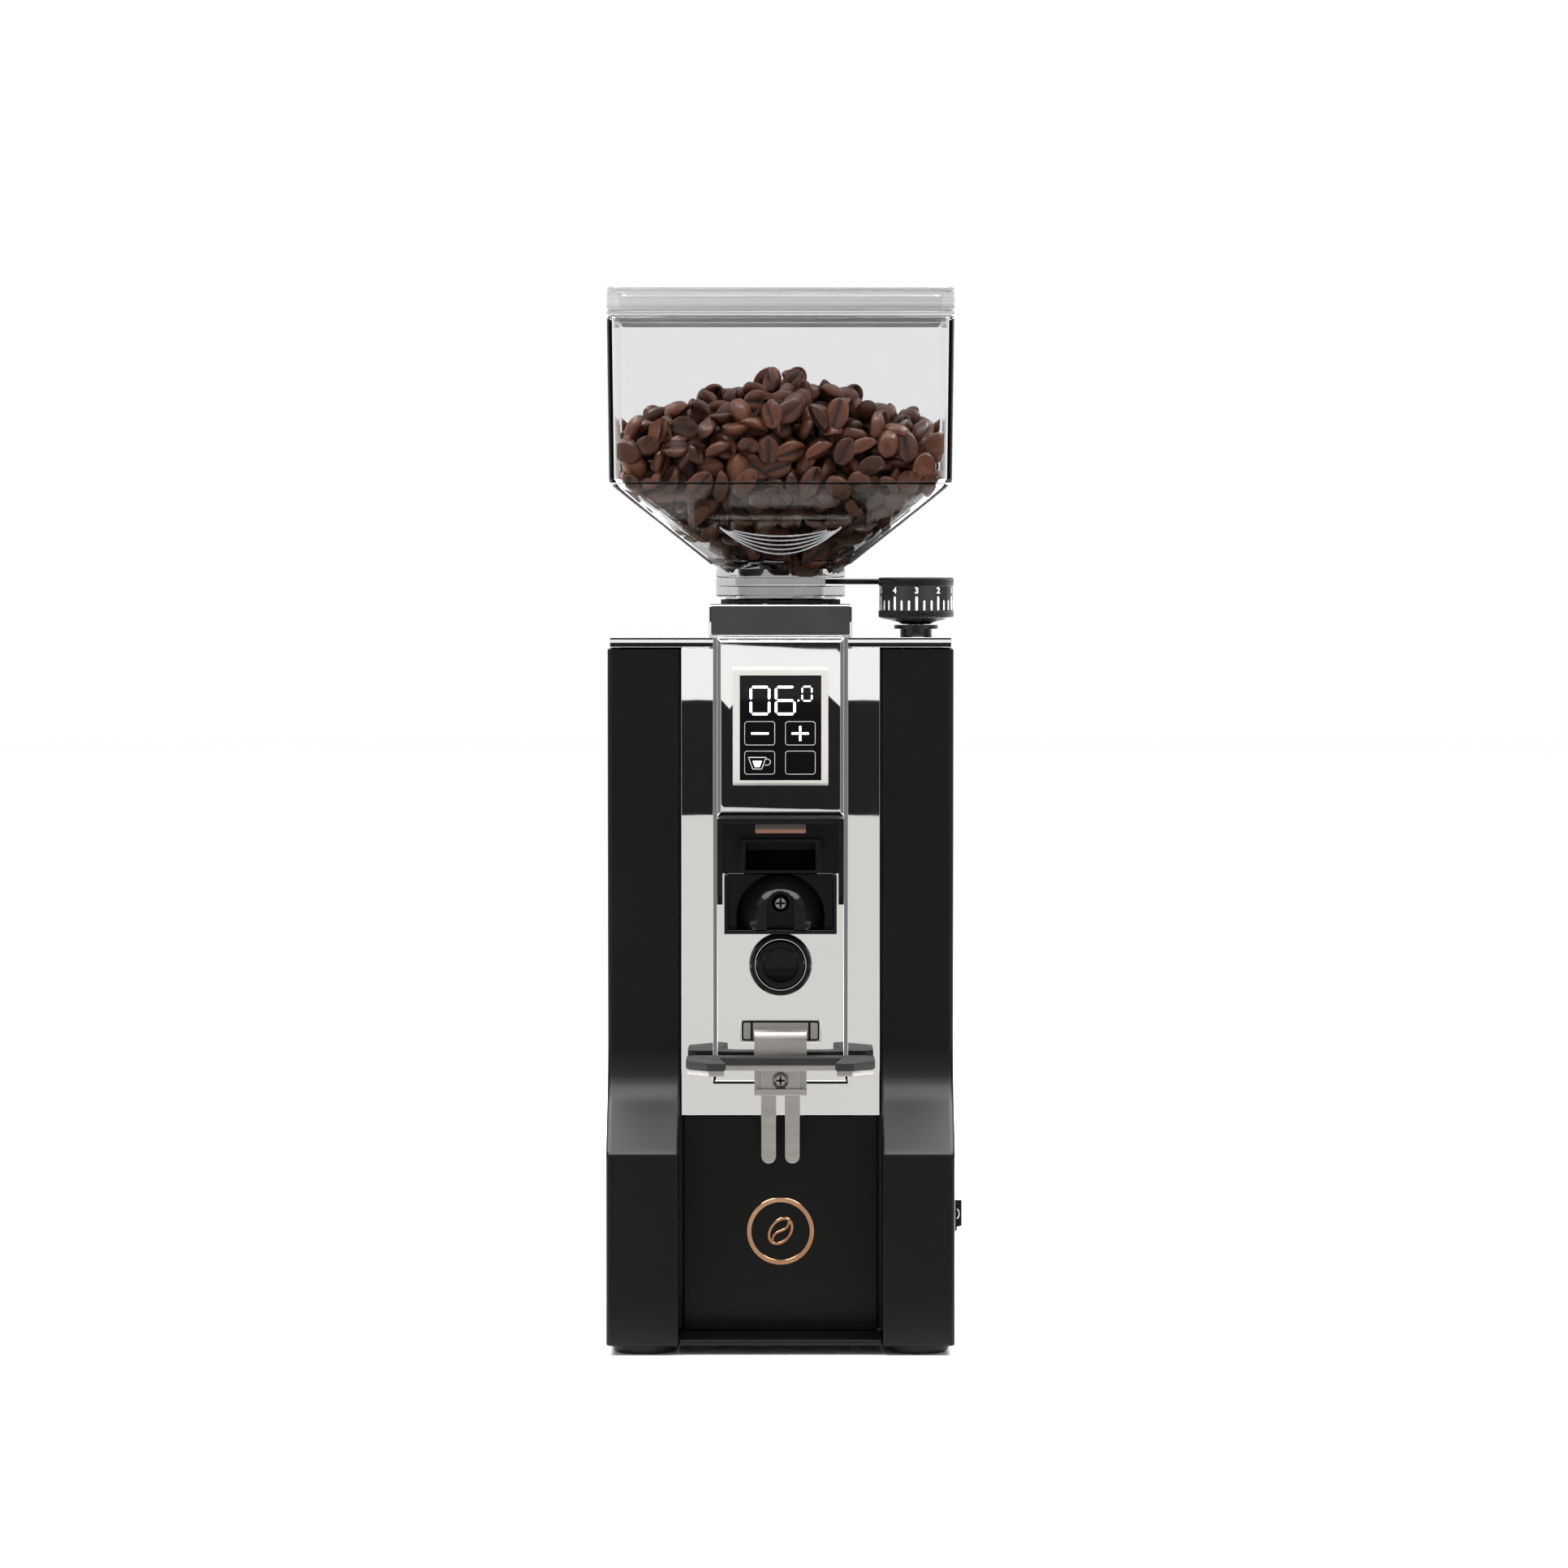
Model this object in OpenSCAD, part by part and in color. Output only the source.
// Burr coffee grinder with a hopper, a touch display and a filter-holder fork.
// X is to the right, the front faces -Y, Z is up. The origin is on the worktop, under the middle.

/* [Body] */
// Width over the side covers
body_w = 120; // [116:1:126]
// Front face of the covers above the slope
front_y = -44; // [-46:0.5:-43]
// Front face of the covers' feet
foot_y = -74; // [-78:1:-70]
// Rear face of the side covers
rear_y = 86; // [84:1:90]
// Height of the top edge of the side covers
cover_top = 242.2; // [241:0.1:242.4]
// Lower edge of the covers, which is the height of the rubber feet
foot_h = 3.1; // [2:0.1:5]
// Height where the slope leaves the feet's front
slope_low = 69.2; // [64:0.1:74]
// Height where the slope meets the upper front
slope_high = 93.4; // [90:0.1:98]
// Sheet thickness of the covers
sheet = 2; // [1.5:0.1:2.5]
// Half the width of the niche between the covers' feet
niche_half = 35.2; // [35:0.1:36]

/* [Front] */
// Half the width of the polished front plate
plate_half = 34.4; // [32:0.1:34.6]
// Lower edge of the polished front plate
plate_low = 80.3; // [78:0.1:84]
// Half the width of the raised column
column_half = 23.4; // [23:0.1:25]
// Front face of the raised column
column_y = -48; // [-49:0.5:-47]
// Lower edge of the raised column
column_low = 92.2; // [90:0.1:96]
// Half the width of the display panel
panel_half = 21.9; // [20:0.1:22.5]
// Lower and upper edges of the display panel
panel_z = [184.6, 246]; // [180:0.1:250]
// Height of the start button's centre
button_z = 133; // [130:0.5:135]
// Radius of the start button's ring
button_r = 10.9; // [10:0.1:11.5]

/* [Hopper] */
// Centre of the hopper in depth
hopper_y = -4; // [-5:0.5:0]
// Width of the hopper at its rim
hopper_w = 120; // [110:1:124]
// Depth of the hopper at its rim
hopper_d = 100; // [90:1:104]
// Height of the hopper's rim
rim_z = 357; // [340:1:365]
// Height of the edge between the box and the funnel
box_low = 299.3; // [295:0.1:305]
// Height of the funnel's lower end
funnel_low = 270.7; // [268:0.1:273]
// Wall thickness of the hopper
wall = 2.2; // [1.8:0.1:2.6]
// Radius of the bean throat
throat_r = 15; // [14:0.5:15]
// Height of the lid above the rim
lid_h = 10.1; // [8:0.1:12]

/* [Dial] */
// Place of the dial's axis
dial_xy = [47.2, -28]; // [-40:0.1:50]
// Radius of the dial
dial_r = 13.1; // [12:0.1:14]

/* [Fork] */
// Front end of the fork's arms
fork_tip = -90; // [-94:1:-84]
// Half the width over the fork
fork_half = 32.4; // [30:0.1:33.5]
// Underside of the fork's steel plate
fork_z = 97.3; // [96:0.1:99]

/* [Grinding parts] */
// Radius of the flat burrs
burr_r = 32.5; // [30:0.5:34]
// Centre of the motor and the burrs in depth
shaft_y = 4; // [4:0.5:6]
// Radius of the motor housing
motor_r = 36; // [34:0.5:37]

/* [Hidden] */

$fn = 64;
eps = 0.05;                     // seating gap between pieces that touch
bleed = 1;                      // how far a cutter runs past the face it cuts
half_w = body_w / 2;
steel = 1.5;                    // thickness of the polished sheets
plate_y = front_y - 1;          // front face of the polished front plate
top_low = 242.7;
top_high = 246.2;
block_low = 246.5;
block_high = 257.8;
block_half = 24.8;
block_y = [column_y, 32];
spigot_r = 19.5;
neck_r = 22.7;
neck_low = 259.7;
gate_z = 264.2;
gate_t = 1.6;
gate_r = throat_r + 0.4;
gate_open_x = 28.4;             // centre of the gate's blade when it is pulled out
window_half = 12.1;
window_z = [165.9, 175.6];
spout_y = -64;                  // front of the spout housing
strap_half = 9.05;
strap_y = -56;                  // front face of the fork's bracket
screw_z = 93.5;
leg_half = 6.7;
slot_half = 1.5;
emblem_z = 39.8;
switch_at = [-30, 44];          // place of the power switch on the right cover
rocker_pivot = 57.5;
rocker_tilt = 7;
chamber_r = 42;
frame_x = 48;
shelf_z = 106;                  // underside of the motor's shelf
motor_low = shelf_z + 3;
motor_high = 187;
shaft_r = 5;
lever_z = 84;
lever_t = 6;
ball_r = 3;
pivot_arm = 16;                 // from the shaft's axis to the lever's pin
rod_reach = norm([dial_xy[0], dial_xy[1] - shaft_y]);
lever_turn = atan2(dial_xy[1] - shaft_y, dial_xy[0]);

// A box from its lower corner to its upper corner.
module span(low, high) {
    translate(low) cube(high - low);
}

// A box that is symmetric about the middle plane, between two depths and two heights.
module middle(half, depths, heights) {
    span([-half, depths[0], heights[0]], [half, depths[1], heights[1]]);
}

// A depth-height outline, extruded between two places across the width.
module across(x0, x1, points) {
    translate([x0, 0, 0]) rotate([90, 0, 90]) linear_extrude(x1 - x0) polygon(points);
}

// A width-height outline, extruded between two depths.
module along(y0, y1, points) {
    translate([0, y1, 0]) rotate([90, 0, 0]) linear_extrude(y1 - y0) polygon(points);
}

// A cylinder along the depth, from its front face to its rear face.
module rod_y(r, x, z, y0, y1) {
    translate([x, y1, z]) rotate([90, 0, 0]) cylinder(h = y1 - y0, r = r);
}

// A cylinder along the height.
module rod_z(r, x, y, z0, z1) {
    translate([x, y, z0]) cylinder(h = z1 - z0, r = r);
}

// A ring along the height.
module ring_z(r, hole, x, y, z0, z1) {
    difference() {
        rod_z(r, x, y, z0, z1);
        rod_z(hole, x, y, z0 - bleed, z1 + bleed);
    }
}

// A flat outline with round corners.
module round_rect(w, d, r) {
    union() {
        square([w - 2 * r, d], center = true);
        square([w, d - 2 * r], center = true);
        for (sx = [-1, 1])
            for (sy = [-1, 1])
                translate([sx * (w / 2 - r), sy * (d / 2 - r)]) circle(r);
    }
}

// A pan head with a cross recess, and its shank, pointing along +Y from the seat.
module pan_screw(head, shank, length) {
    difference() {
        union() {
            rotate([90, 0, 0]) cylinder(h = head * 0.6, r1 = head, r2 = head * 0.6);
            rotate([-90, 0, 0]) cylinder(h = length, r = shank);
        }
        for (turn = [0, 90])
            rotate([0, turn, 0])
                span([-head * 0.55, -head - bleed, -0.35], [head * 0.55, -head * 0.25, 0.35]);
    }
}

// ---- Body ----

module base_plate() {
    foot_in = niche_half + sheet + 0.2;
    color([0.1, 0.1, 0.1])
        difference() {
            union() {
                middle(half_w - sheet - 0.2, [front_y + sheet + 0.2, rear_y - 0.1], [foot_h, foot_h + 2]);
                middle(niche_half - 0.3, [foot_y + 2, front_y + sheet + bleed], [foot_h, foot_h + 2]);
                for (side = [0, 1])
                    mirror([side, 0, 0])
                        span([foot_in, foot_y + sheet + 0.2, foot_h],
                            [half_w - sheet - 0.2, front_y + sheet + bleed, foot_h + 2]);
            }
            for (x = [-30:10:30])
                span([x - 1.5, -15, 0], [x + 1.5, 40, foot_h + 2 + bleed]);
        }
}

module rubber_feet() {
    foot_r = 10.7;
    color([0.07, 0.07, 0.07])
        for (x = [-47.2, 47.2])
            for (y = [-60, 70])
                translate([x, y, 0]) {
                    cylinder(h = 0.8, r1 = foot_r - 0.8, r2 = foot_r);
                    translate([0, 0, 0.8]) cylinder(h = foot_h - 0.8, r = foot_r);
                }
}

// Two upright plates, the shelves of the motor and the grinding chamber, and the lever's cheeks.
module inner_frame() {
    color([0.62, 0.63, 0.65]) {
        for (side = [0, 1])
            mirror([side, 0, 0])
                span([frame_x - 2, -18, foot_h + 2 + eps], [frame_x, 48, 201]);
        difference() {
            middle(frame_x - 2, [-22, 48], [shelf_z, shelf_z + 3]);
            rod_z(9, 0, shaft_y, 0, 200);
        }
        difference() {
            middle(frame_x - 2, [-18, 48], [198, 201]);
            rod_z(12, 0, shaft_y, 190, 210);
        }
        translate([0, shaft_y, 0]) rotate([0, 0, lever_turn])
            for (side = [-1, 1])
                difference() {
                    translate([pivot_arm - 6, side * 6.5 - 1.25, lever_z - 3])
                        cube([12, 2.5, shelf_z - lever_z + 3]);
                    translate([pivot_arm, 20, lever_z + lever_t / 2])
                        rotate([90, 0, 0]) cylinder(h = 40, r = 2.02);
                }
    }
}

// Side outline of a cover, moved inwards by t and run out past its open edges by over.
function cover_outline(t, over) = [
    [foot_y + t, foot_h - over],
    [foot_y + t, slope_low - t * 0.4],
    [front_y + t, slope_high - t * 0.4],
    [front_y + t, cover_top + over],
    [rear_y + over, cover_top + over],
    [rear_y + over, foot_h - over]
];

module side_cover() {
    difference() {
        across(niche_half, half_w, cover_outline(0, 0));
        across(niche_half + sheet, half_w - sheet, cover_outline(sheet, bleed));
        span([niche_half - bleed, front_y + sheet, foot_h - bleed],
            [half_w - sheet, rear_y + bleed, cover_top + bleed]);
    }
}

module left_cover() {
    color([0.13, 0.13, 0.13]) mirror([1, 0, 0]) side_cover();
}

module right_cover() {
    color([0.13, 0.13, 0.13])
        difference() {
            side_cover();
            span([half_w - 5, switch_at[0] - 10.1, switch_at[1] - 5.4],
                [half_w + 5, switch_at[0] + 10.1, switch_at[1] + 5.4]);
        }
}

module rear_cover() {
    gland = [38, 25];
    color([0.13, 0.13, 0.13])
        difference() {
            middle(half_w, [rear_y + eps, rear_y + 2], [foot_h, cover_top]);
            for (z = [120:8:200])
                for (x = [-24, 24])
                    translate([x, rear_y + 4, z]) rotate([90, 0, 0])
                        linear_extrude(6) round_rect(34, 3, 1.4);
            rod_y(6.1, gland[0], gland[1], rear_y - 2, rear_y + 5);
            for (x = [-52, 52])
                for (z = [14, 232])
                    rod_y(1.6, x, z, rear_y - 2, rear_y + 5);
        }
}

module cover_screws() {
    color([0.75, 0.75, 0.76])
        for (x = [-52, 52])
            for (z = [14, 232])
                translate([x, rear_y + 2, z]) mirror([0, 1, 0]) pan_screw(2.6, 1.5, 8);
}

module lower_front_panel() {
    color([0.14, 0.14, 0.14])
        middle(niche_half - 1.5, [front_y, front_y + steel], [foot_h + 2 + eps, plate_low - 0.4]);
}

// A plain ring with the outline of a coffee bean in it.
module emblem() {
    outer = 11.75;
    color([0.78, 0.55, 0.38])
        translate([0, front_y - eps, emblem_z]) rotate([90, 0, 0]) linear_extrude(0.4) {
            difference() {
                circle(outer);
                circle(outer - 0.7);
            }
            rotate(35)
                difference() {
                    intersection() {
                        translate([-3.4, 0]) circle(8);
                        translate([3.4, 0]) circle(8);
                    }
                    intersection() {
                        translate([-3.4, 0]) circle(7.3);
                        translate([3.4, 0]) circle(7.3);
                    }
                }
            rotate(35) square([0.7, 10], center = true);
        }
}

module front_plate() {
    color([0.85, 0.85, 0.84])
        difference() {
            middle(plate_half, [plate_y, plate_y + steel], [plate_low, top_low - 0.3]);
            middle(window_half + 0.5, [-60, -40], [window_z[0] - 2.4, window_z[1] + 1.3]);
            rod_y(4, 0, button_z, -60, -40);
            rod_y(1.7, 0, 154.3, -60, -40);
            middle(6, [-60, -40], [200, 226]);
        }
}

module centre_column() {
    bevel = 1.5;
    y0 = column_y;
    y1 = plate_y - eps;
    color([0.85, 0.85, 0.84])
        difference() {
            intersection() {
                translate([0, 0, column_low]) linear_extrude(top_high - column_low)
                    polygon([[-column_half, y1], [-column_half, y0 + bevel], [-column_half + bevel, y0],
                        [column_half - bevel, y0], [column_half, y0 + bevel], [column_half, y1]]);
                across(-column_half - bleed, column_half + bleed,
                    [[y1, column_low], [y0 + 1, column_low], [y0, column_low + 2], [y0, top_high], [y1, top_high]]);
            }
            middle(window_half + 0.5, [-60, -40], [window_z[0] - 2.4, window_z[1] + 1.3]);
            middle(19.5, [-60, -40], [187.5, 242.5]);
            middle(13.9, [-60, -40], [106, 113.8]);
            rod_y(9.6, 0, button_z, -60, -40);
            rod_y(1.7, 0, 154.3, -60, -40);
        }
}

module display_panel() {
    bevel = 1.25;
    y0 = column_y - 2;
    y1 = column_y - eps;
    color([0.85, 0.85, 0.84])
        difference() {
            intersection() {
                translate([0, 0, panel_z[0]]) linear_extrude(panel_z[1] - panel_z[0])
                    polygon([[-panel_half, y1], [-panel_half, y0 + bevel], [-panel_half + bevel, y0],
                        [panel_half - bevel, y0], [panel_half, y0 + bevel], [panel_half, y1]]);
                across(-30, 30, [[y1, panel_z[0]], [y0 + bevel, panel_z[0]], [y0, panel_z[0] + bevel],
                    [y0, panel_z[1] - bevel], [y0 + bevel, panel_z[1]], [y1, panel_z[1]]]);
            }
            middle(14.3, [-60, -40], [196.7, 233.4]);
        }
}

module display_bezel() {
    y1 = column_y - 2 - eps;
    color([0.75, 0.75, 0.76])
        difference() {
            intersection() {
                along(y1 - 1.2, y1, [[-16.5, 195.1], [16.5, 195.1], [16.5, 236], [-16.5, 236]]);
                across(-20, 20, [[y1, 195.1], [y1 - 0.4, 195.1], [y1 - 1.2, 195.9], [y1 - 1.2, 235.2],
                    [y1 - 0.4, 236], [y1, 236]]);
            }
            middle(14.1, [-60, -40], [196.9, 233.2]);
        }
}

module display_glass() {
    color([0.06, 0.07, 0.08])
        middle(14, [column_y - 2.9, column_y - 2.3], [197, 233.1]);
}

// Circuit board with the display module on it.
module display_board() {
    color([0.1, 0.35, 0.2]) {
        middle(18.5, [column_y + 0.7, column_y + 2.2], [189, 241]);
        middle(13.8, [column_y - 2.2, column_y + 0.7], [197.2, 232.9]);
        middle(5, [column_y + 2.2, column_y + 4.2], [203, 223]);
    }
}

module top_cover() {
    color([0.85, 0.85, 0.84])
        difference() {
            middle(half_w - 0.8, [plate_y + 0.2, rear_y + 2], [top_low, top_high]);
            rod_z(spigot_r + 1, 0, hopper_y, top_low - bleed, top_high + bleed);
            rod_z(4.6, dial_xy[0], dial_xy[1], top_low - bleed, top_high + bleed);
        }
}

module collar_block() {
    bevel = 0.7;
    color([0.8, 0.8, 0.8])
        difference() {
            intersection() {
                along(block_y[0], block_y[1],
                    [[-block_half, block_low], [block_half, block_low], [block_half, block_high - bevel],
                    [block_half - bevel, block_high], [bevel - block_half, block_high],
                    [-block_half, block_high - bevel]]);
                across(-30, 30,
                    [[block_y[0], block_low], [block_y[1], block_low], [block_y[1], block_high - bevel],
                    [block_y[1] - bevel, block_high], [block_y[0] + bevel, block_high],
                    [block_y[0], block_high - bevel]]);
            }
            rod_z(spigot_r + eps, 0, hopper_y, block_low - bleed, block_high + bleed);
        }
}

module collar_seal() {
    color([0.06, 0.06, 0.06])
        ring_z(21, spigot_r + eps, 0, hopper_y, block_high, block_high + 0.9);
}

// ---- Hopper ----

// The tapering box and the funnel below it, with every face moved inwards by t.
module hopper_form(t, low, high) {
    hw = hopper_w / 2 - t;
    hd = hopper_d / 2 - t;
    neck = 24.7 - t * 1.25 + (low - funnel_low) * 1.196;
    neck_d = 24.7 - t * 1.35 + (low - funnel_low) * 0.846;
    intersection() {
        along(hopper_y - 80, hopper_y + 80, [[-neck, low], [neck, low], [hw - 1.1, box_low],
            [hw, high], [-hw, high], [1.1 - hw, box_low]]);
        translate([0, hopper_y, 0]) across(-80, 80, [[-neck_d, low], [neck_d, low],
            [hd - 1.1, box_low], [hd, high], [-hd, high], [1.1 - hd, box_low]]);
        translate([0, hopper_y, low - bleed]) linear_extrude(high - low + 2 * bleed)
            round_rect(2 * hw, 2 * hd, max(4 - t, 1));
    }
}

module throat_cone(t) {
    translate([0, hopper_y, 268.5]) cylinder(h = 4.5, r1 = throat_r - t, r2 = 22.5 - t);
}

module hopper() {
    color([0.85, 0.87, 0.88, 0.35])
        difference() {
            union() {
                hopper_form(0, funnel_low, rim_z);
                rod_z(neck_r, 0, hopper_y, neck_low, funnel_low + 0.5);
                rod_z(spigot_r, 0, hopper_y, block_low + 2.5, neck_low + bleed);
            }
            hopper_form(wall, 273, rim_z + bleed);
            throat_cone(0);
            rod_z(throat_r, 0, hopper_y, block_low, 269);
            rod_z(gate_r + 0.4, 0, hopper_y, gate_z - 0.3, gate_z + gate_t + 0.3);
            span([0, hopper_y - gate_r - 0.4, gate_z - 0.3],
                [30, hopper_y + gate_r + 0.4, gate_z + gate_t + 0.3]);
        }
}

module hopper_lid() {
    low = rim_z + 0.3;
    high = rim_z + lid_h + 0.3;
    lip = wall + 0.4;
    color([0.8, 0.82, 0.83, 0.5])
        difference() {
            union() {
                translate([0, hopper_y, low]) linear_extrude(high - low)
                    round_rect(hopper_w + 0.2, hopper_d + 0.2, 4);
                translate([0, hopper_y, low - 6]) linear_extrude(7)
                    round_rect(hopper_w - 2 * lip, hopper_d - 2 * lip, 3);
            }
            translate([0, hopper_y, low - 7]) linear_extrude(high - low + 7 - 2)
                round_rect(hopper_w - 2 * lip - 3, hopper_d - 2 * lip - 3, 2);
        }
}

// A round blade on a narrow handle, with a finger tab at its end.
module bean_gate() {
    handle = 4.5;
    color([0.05, 0.05, 0.05])
        translate([0, hopper_y, gate_z]) {
            translate([gate_open_x, 0, 0]) cylinder(h = gate_t, r = gate_r);
            span([gate_open_x, -handle, 0], [58, handle, gate_t]);
            span([56.4, -handle, -4.2], [58, handle, 0.5]);
        }
}

// The heap of beans as one plain solid.
module coffee_beans() {
    dome_r = 95;
    color([0.32, 0.19, 0.13])
        intersection() {
            union() {
                hopper_form(wall + 0.4, 273, rim_z - 10);
                throat_cone(0.4);
                rod_z(throat_r - 0.4, 0, hopper_y, 268, 270);
            }
            translate([0, hopper_y, 339 - dome_r]) sphere(dome_r, $fn = 128);
        }
}

// ---- Grinding parts ----

// A leaning tube that leads the beans back from the hopper to the burrs.
module bean_throat() {
    color([0.2, 0.2, 0.2])
        difference() {
            hull() {
                rod_z(19, 0, hopper_y, top_low - 1.3, top_low - 0.3, $fn = 32);
                rod_z(18.4, 0, shaft_y, 236, 237, $fn = 32);
            }
            hull() {
                rod_z(17, 0, hopper_y, top_low - 1.3, top_low - 0.3 + bleed, $fn = 32);
                rod_z(16.2, 0, shaft_y, 235, 236, $fn = 32);
            }
        }
}

module burr_holder() {
    color([0.72, 0.72, 0.7])
        difference() {
            union() {
                ring_z(39, 16.5, 0, shaft_y, 229.1, 235.9);
                ring_z(chamber_r, 16.5, 0, shaft_y, 229.1, 232);
            }
            burr_screw_places() rod_z(1.6, 0, 0, 226, 240);
        }
}

module burr_screw_places() {
    for (turn = [30, 150, 270])
        translate([0, shaft_y, 0]) rotate([0, 0, turn]) translate([24.5, 0, 0]) children();
}

// A flat burr: a ring with a dished mouth and slanting grooves on its cutting face.
module burr(up) {
    grooves = 12;
    difference() {
        ring_z(burr_r, 17, 0, 0, 0, 7);
        translate([0, 0, up ? 4 : -bleed])
            cylinder(h = 3 + bleed, r1 = up ? 17 : 24, r2 = up ? 24 : 17);
        for (turn = [0:360 / grooves:359])
            rotate([0, 0, turn]) translate([20, 0, up ? 6 : -bleed])
                rotate([0, 0, 25]) translate([0, -0.8, 0]) cube([18, 1.6, 1 + bleed]);
    }
}

module upper_burr() {
    color([0.6, 0.6, 0.62])
        difference() {
            translate([0, shaft_y, 222]) burr(false);
            burr_screw_places() rod_z(1.6, 0, 0, 220, 240);
        }
}

module lower_burr() {
    color([0.6, 0.6, 0.62])
        difference() {
            translate([0, shaft_y, 213.6]) burr(true);
            burr_screw_places() rod_z(1.6, 0, 0, 200, 222);
        }
}

module upper_burr_screws() {
    color([0.75, 0.75, 0.76])
        burr_screw_places() {
            rod_z(2.8, 0, 0, 235.9, 237.5);
            rod_z(1.5, 0, 0, 224, 236);
        }
}

module lower_burr_screws() {
    color([0.75, 0.75, 0.76])
        burr_screw_places() {
            rod_z(2.6, 0, 0, 207.4, 208.8);
            rod_z(1.5, 0, 0, 208, 218);
        }
}

// The turning disc that carries the lower burr and sweeps the grounds out with its paddles.
module burr_carrier() {
    color([0.72, 0.6, 0.35])
        difference() {
            union() {
                rod_z(burr_r, 0, shaft_y, 208.8, 213.5);
                rod_z(12, 0, shaft_y, 208.8, 215);
                for (turn = [0:90:270])
                    translate([0, shaft_y, 208.8]) rotate([0, 0, turn + 45])
                        translate([20, -1.5, 0]) cube([16.4, 3, 4.7]);
            }
            rod_z(shaft_r, 0, shaft_y, 200, 220);
            burr_screw_places() rod_z(1.6, 0, 0, 200, 222);
        }
}

module grind_chamber() {
    color([0.6, 0.6, 0.6])
        difference() {
            rod_z(chamber_r, 0, shaft_y, 201 + eps, 229);
            rod_z(37.2, 0, shaft_y, 206.9, 230);
            rod_z(7, 0, shaft_y, 200, 210);
            middle(9, [-45, -25], [207.6, 214]);
        }
}

module chute_duct() {
    color([0.08, 0.08, 0.08])
        difference() {
            across(-13.6, 13.6, [[-43.3, 161.5], [-43.3, 217], [-38.3, 217], [-38.3, 200],
                [-33.6, 200], [-33.6, 171]]);
            across(-12.4, 12.4, [[-44.5, 163.2], [-44.5, 176], [-42.1, 176], [-42.1, 215],
                [-39.5, 215], [-39.5, 198.8], [-34.8, 198.8], [-34.8, 172]]);
            middle(9, [-41, -30], [207.6, 214]);
        }
}

module motor_housing() {
    color([0.25, 0.27, 0.3])
        difference() {
            rod_z(motor_r, 0, shaft_y, motor_low, motor_high);
            rod_z(motor_r - 2, 0, shaft_y, motor_low + 10, motor_high - 10);
            rod_z(11, 0, shaft_y, motor_low + 2, motor_high - 2);
            rod_z(shaft_r + 1, 0, shaft_y, 100, 200);
        }
}

module stator_core() {
    color([0.5, 0.5, 0.52])
        ring_z(motor_r - 2 - eps, 22.5, 0, shaft_y, 127, 169);
}

module rotor_core() {
    color([0.55, 0.55, 0.56]) ring_z(21.5, shaft_r, 0, shaft_y, 126, 170);
}

module motor_shaft() {
    color([0.8, 0.8, 0.8]) {
        rod_z(shaft_r - 0.02, 0, shaft_y, lever_z + lever_t + 0.3 + 2 * ball_r + eps, 213.5);
    }
}

module shaft_bearings() {
    color([0.7, 0.7, 0.72])
        for (z = [motor_low + 2 + eps, motor_high - 10])
            ring_z(11 - eps, shaft_r + 0.02, 0, shaft_y, z, z + 8 - 2 * eps);
}

module thrust_ball() {
    color([0.8, 0.8, 0.82])
        translate([0, shaft_y, lever_z + lever_t + 0.3 + ball_r]) sphere(ball_r);
}

module lift_lever() {
    color([0.65, 0.65, 0.67])
        translate([0, shaft_y, 0]) rotate([0, 0, lever_turn])
            difference() {
                union() {
                    translate([-6, -4, lever_z]) cube([rod_reach + 12, 8, lever_t]);
                    translate([rod_reach, 0, lever_z]) cylinder(h = lever_t, r = 6);
                }
                translate([pivot_arm, 10, lever_z + lever_t / 2])
                    rotate([90, 0, 0]) cylinder(h = 20, r = 2.05);
            }
}

module lever_pin() {
    color([0.8, 0.8, 0.82])
        translate([0, shaft_y, 0]) rotate([0, 0, lever_turn])
            translate([pivot_arm, 9, lever_z + lever_t / 2]) rotate([90, 0, 0]) cylinder(h = 18, r = 2);
}

module adjusting_nut() {
    low = lever_z + lever_t + 0.3;
    color([0.78, 0.66, 0.35])
        difference() {
            rod_z(6, dial_xy[0], dial_xy[1], low, low + 10);
            rod_z(3.05, dial_xy[0], dial_xy[1], low + 2, low + 11);
        }
}

module adjusting_rod() {
    color([0.75, 0.75, 0.76]) rod_z(3, dial_xy[0], dial_xy[1], 93.5, 256);
}

// ---- Dial ----

module dial_bush() {
    color([0.08, 0.08, 0.08])
        difference() {
            union() {
                rod_z(4.5, dial_xy[0], dial_xy[1], 238, 247);
                rod_z(5.5, dial_xy[0], dial_xy[1], top_high, 249);
                rod_z(7.65, dial_xy[0], dial_xy[1], 248.9, 250.2);
            }
            rod_z(3.05, dial_xy[0], dial_xy[1], 230, 260);
        }
}

// A small triangular mark that stands on the front edge of the top cover.
module dial_pointer() {
    color([0.9, 0.9, 0.9])
        along(plate_y + 0.4, plate_y + 1.4,
            [[dial_xy[0] - 1.9, top_high], [dial_xy[0] + 2.5, top_high], [dial_xy[0] + 0.3, top_high + 2.8]]);
}

module dial_knob() {
    color([0.1, 0.1, 0.1])
        translate([dial_xy[0], dial_xy[1], 0])
            difference() {
                rotate_extrude()
                    polygon([[0, 250.5], [5, 250.5], [6.2, 251.2], [dial_r - 0.5, 252.7], [dial_r, 253.2],
                        [dial_r, 255], [dial_r - 0.3, 255.3], [dial_r - 0.3, 263.7], [dial_r, 264],
                        [dial_r, 266.2], [dial_r - 0.5, 266.7], [0, 266.7]]);
                translate([0, 0, 249]) cylinder(h = 7, r = 3);
            }
}

// ---- Electrical parts ----

module capacitor() {
    color([0.75, 0.75, 0.78]) {
        rod_z(17.5, -24, 64, foot_h + 2 + eps, 80);
        for (x = [-29, -19])
            span([x - 2, 63.5, 80], [x + 2, 64.5, 88]);
    }
}

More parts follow.
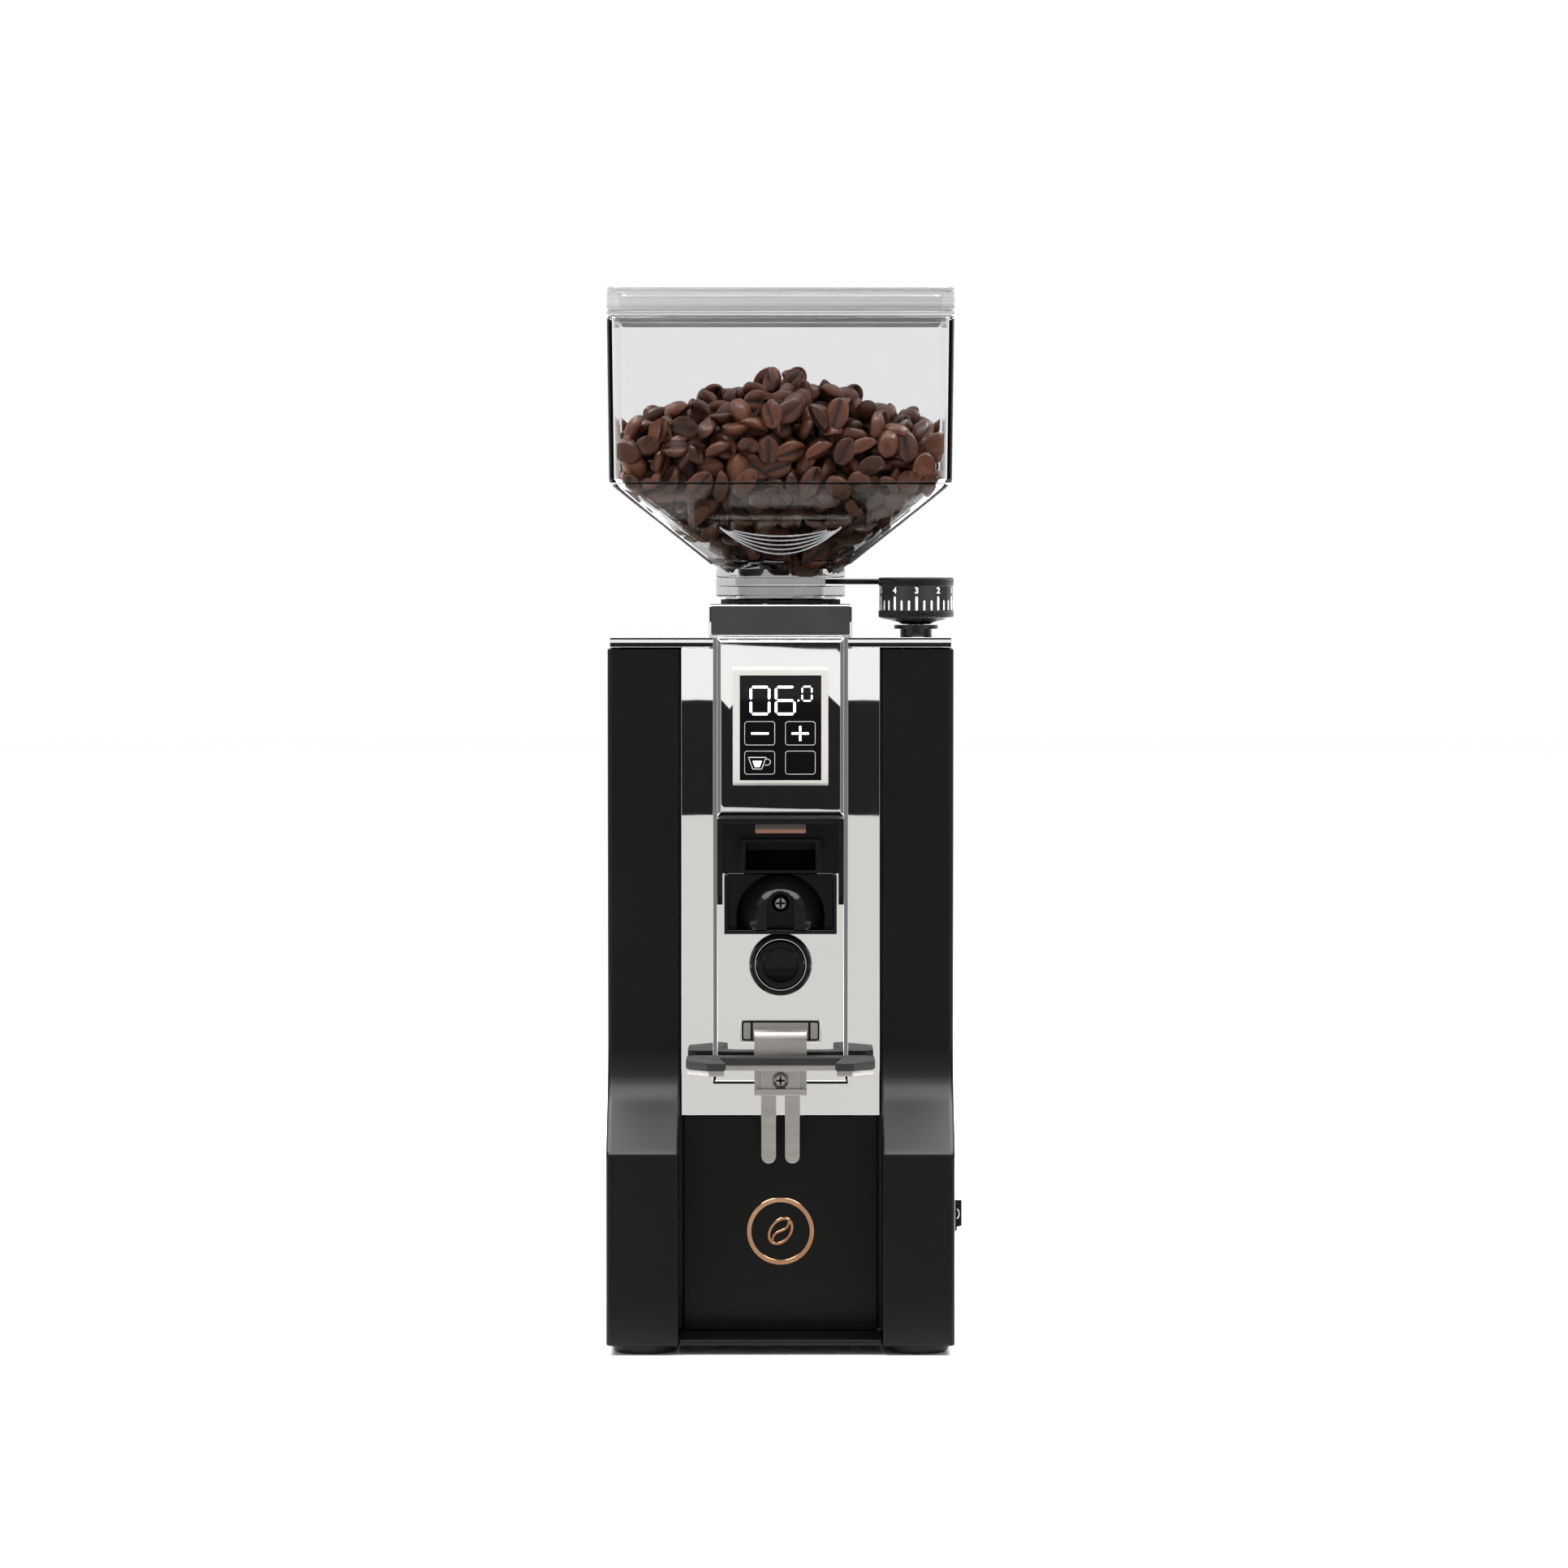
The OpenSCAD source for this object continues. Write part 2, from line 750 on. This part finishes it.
module control_board() {
    top = 13.6;
    color([0.1, 0.35, 0.2]) {
        span([-40, -32, 12], [20, 36, top]);
        for (x = [-37, 17])
            for (y = [-29, 33])
                rod_z(2.5, x, y, foot_h + 2 + eps, 12);
        span([-36, -22, top], [-12, 4, top + 16]);
        span([-6, -24, top], [12, -6, top + 9]);
        rod_z(5, -28, 20, top, top + 14);
        rod_z(5, -14, 20, top, top + 14);
        span([-2, 8, top], [14, 30, top + 7]);
    }
}

module cord_gland() {
    color([0.06, 0.06, 0.06])
        difference() {
            union() {
                rod_y(8, 38, 25, rear_y + 2, rear_y + 4);
                rod_y(6, 38, 25, rear_y - 8, rear_y + 3);
            }
            rod_y(3.5, 38, 25, rear_y - 10, rear_y + 5);
        }
}

module switch_bezel() {
    color([0.05, 0.05, 0.05])
        translate([0, switch_at[0], switch_at[1]])
            difference() {
                union() {
                    span([half_w, -11.2, -5.9], [half_w + 0.8, 11.2, 5.9]);
                    span([half_w - 13, -9.9, -5.3], [half_w + 0.4, 9.9, 5.3]);
                }
                span([half_w - 6.5, -9.6, -5], [half_w + 2, 9.6, 5]);
            }
}

// The rocker's front half is pressed in and its rear half stands out.
module power_rocker() {
    color([0.05, 0.05, 0.05])
        translate([rocker_pivot, switch_at[0], switch_at[1] - 4.6]) rotate([0, 0, -rocker_tilt])
            union() {
                linear_extrude(9.2)
                    polygon([[-1.8, -4], [0.6, -8.6], [5.05, -8.6], [2.1, 0], [5.05, 8.6], [0.6, 8.6], [-1.8, 4]]);
                translate([0, 0, -0.3]) cylinder(h = 9.8, r = 1.2);
            }
}

module button_ring() {
    y0 = column_y - 3;
    color([0.04, 0.04, 0.04])
        difference() {
            union() {
                translate([0, column_y - eps, button_z]) rotate([90, 0, 0])
                    cylinder(h = 3, r1 = button_r, r2 = button_r - 0.8);
                rod_y(9.5, 0, button_z, y0 + 1, plate_y - eps);
            }
            rod_y(8.6, 0, button_z, y0 - bleed, plate_y + bleed);
        }
}

module start_button() {
    front = column_y - 4;
    dish_r = 25;
    color([0.06, 0.06, 0.06])
        difference() {
            union() {
                rod_y(8.3, 0, button_z, front, column_y - 0.5);
                rod_y(3, 0, button_z, column_y - 1, -44.8);
            }
            translate([0, front + 0.8 - dish_r, button_z]) sphere(dish_r);
        }
}

module button_switch() {
    color([0.2, 0.2, 0.22]) {
        middle(8, [-40.5, -33.5], [button_z - 10, button_z + 10]);
        rod_y(1.5, 0, button_z, -41.3, -40);
    }
}

// ---- Spout ----

// A hood with a window in its rear wall, through which the grounds come.
module spout_housing() {
    half = 21.8;
    low = 154.4;
    high = 184.2;
    t = 1.8;
    rear = column_y - eps;
    color([0.09, 0.09, 0.09])
        difference() {
            union() {
                for (side = [0, 1])
                    mirror([side, 0, 0])
                        across(half - t, half, [[rear, low], [spout_y + 3, low], [spout_y, low + 3],
                            [spout_y, high], [rear, high]]);
                middle(half, [spout_y, rear], [high - t, high]);
                middle(half, [rear - 2, rear], [low + 10.2, high]);
                middle(14.25, [rear - 5, rear], [window_z[0] - 1.1, window_z[1] + 1.1]);
            }
            middle(window_half, [-60, -40], window_z);
        }
}

// A shallow metal-lipped tray that closes the lower part of the spout at the back and the sides.
module spout_tray() {
    half = 19.4;
    rear = column_y - eps;
    color([0.07, 0.07, 0.07])
        difference() {
            middle(half, [spout_y + 3, rear], [144.2, 164.4]);
            middle(half - 1.2, [spout_y - bleed, rear - 1.2], [145.6, 170]);
            rod_y(1.7, 0, 154.3, -60, -40);
        }
}

// A round-fronted deflector with a slot for its screw.
module spout_deflector() {
    r = 15.4;
    rear = column_y - 1.3;
    centre = 149.3;
    color([0.1, 0.1, 0.1])
        difference() {
            intersection() {
                translate([0, rear, centre]) sphere(r);
                middle(r, [rear - 13, rear], [145.7, centre + r]);
            }
            translate([0, rear + 1, centre]) sphere(r - 2.4);
            rod_y(4.7, 0, 154.3, -70, rear - 2);
            middle(4.7, [-70, rear - 2], [140, 154.3]);
            rod_y(1.7, 0, 154.3, -70, -40);
        }
}

module front_screws() {
    color([0.7, 0.7, 0.7]) {
        translate([0, column_y - 1.3, 154.3]) pan_screw(3.1, 1.4, 6);
        translate([0, strap_y - 2.1, screw_z]) pan_screw(2.9, 1.42, 3.6);
    }
}

module lamp_lens() {
    color([0.5, 0.28, 0.2])
        middle(8.8, [spout_y + 4, column_y - 2.1], [179, 182.35]);
}

// ---- Fork ----

// A bent strap: a wide head in the column's window, a round bend, an upright face and a slotted lip.
module fork_bracket() {
    top = 110.8;
    bend = 3.4;
    low = 88.4;
    color([0.75, 0.73, 0.71])
        difference() {
            union() {
                middle(13.5, [plate_y - 1.5, plate_y - eps], [106.3, 113.2]);
                middle(strap_half, [strap_y + bend, plate_y - 0.5], [top - steel, top]);
                intersection() {
                    middle(strap_half, [strap_y, strap_y + bend], [top - bend, top]);
                    difference() {
                        bend_round(bend);
                        bend_round(bend - steel);
                    }
                }
                middle(strap_half, [strap_y, strap_y + steel], [low, top - bend]);
                middle(strap_half, [strap_y - 4.2, strap_y + steel], [low, low + 2.1]);
            }
            middle(leg_half + 0.3, [strap_y - 2.3, strap_y], [low - bleed, low + 3]);
            rod_y(1.45, 0, screw_z, strap_y - 6, strap_y + 4);
        }
}

// A cylinder across the strap at the centre of its bend.
module bend_round(r) {
    translate([-strap_half - bleed, strap_y + 3.4, 110.8 - 3.4]) rotate([0, 90, 0])
        cylinder(h = 2 * strap_half + 2 * bleed, r = r);
}

// The fork's outline from above, moved inwards by t. Its arms narrow towards their tips.
module fork_outline(t) {
    back = strap_y - 0.3 - t;
    bar = back - 9 + 2 * t;
    difference() {
        polygon([[-fork_half + t, back - 3], [-fork_half + t + 3, back], [fork_half - t - 3, back],
            [fork_half - t, back - 3], [fork_half - t, fork_tip + 9 + t], [25 - t, fork_tip + t],
            [-25 + t, fork_tip + t], [-fork_half + t, fork_tip + 9 + t]]);
        polygon([[-21.3 - t, bar], [21.3 + t, bar], [18.5 + t, fork_tip - bleed],
            [-18.5 - t, fork_tip - bleed]]);
    }
}

// The steel U and its upright leg, which is slotted from below.
module fork_plate() {
    back = strap_y - 0.3;
    low = 64.6;
    color([0.75, 0.73, 0.71])
        difference() {
            union() {
                translate([0, 0, fork_z]) linear_extrude(2) fork_outline(0.5);
                middle(leg_half, [back - steel, back], [low + 2.6, fork_z + 1]);
                for (side = [-1, 1])
                    rod_y((leg_half - slot_half) / 2, side * (leg_half + slot_half) / 2, low + 2.6,
                        back - steel, back);
            }
            middle(slot_half, [-70, -50], [low - bleed, screw_z + 0.2]);
            rod_y(slot_half, 0, screw_z + 0.2, -70, -50);
        }
}

module fork_pads() {
    color([0.07, 0.07, 0.07])
        translate([0, 0, fork_z + 2 + eps]) linear_extrude(2.7) fork_outline(0);
}

base_plate();
rubber_feet();
inner_frame();
left_cover();
right_cover();
rear_cover();
cover_screws();
lower_front_panel();
emblem();
front_plate();
centre_column();
display_panel();
display_bezel();
display_glass();
display_board();
top_cover();
collar_block();
collar_seal();
hopper();
hopper_lid();
bean_gate();
coffee_beans();
bean_throat();
burr_holder();
upper_burr();
upper_burr_screws();
grind_chamber();
lower_burr();
burr_carrier();
lower_burr_screws();
motor_housing();
stator_core();
rotor_core();
motor_shaft();
shaft_bearings();
thrust_ball();
lift_lever();
lever_pin();
adjusting_nut();
adjusting_rod();
dial_bush();
dial_pointer();
dial_knob();
capacitor();
control_board();
chute_duct();
spout_housing();
spout_tray();
spout_deflector();
front_screws();
lamp_lens();
button_ring();
start_button();
button_switch();
switch_bezel();
power_rocker();
cord_gland();
fork_bracket();
fork_plate();
fork_pads();
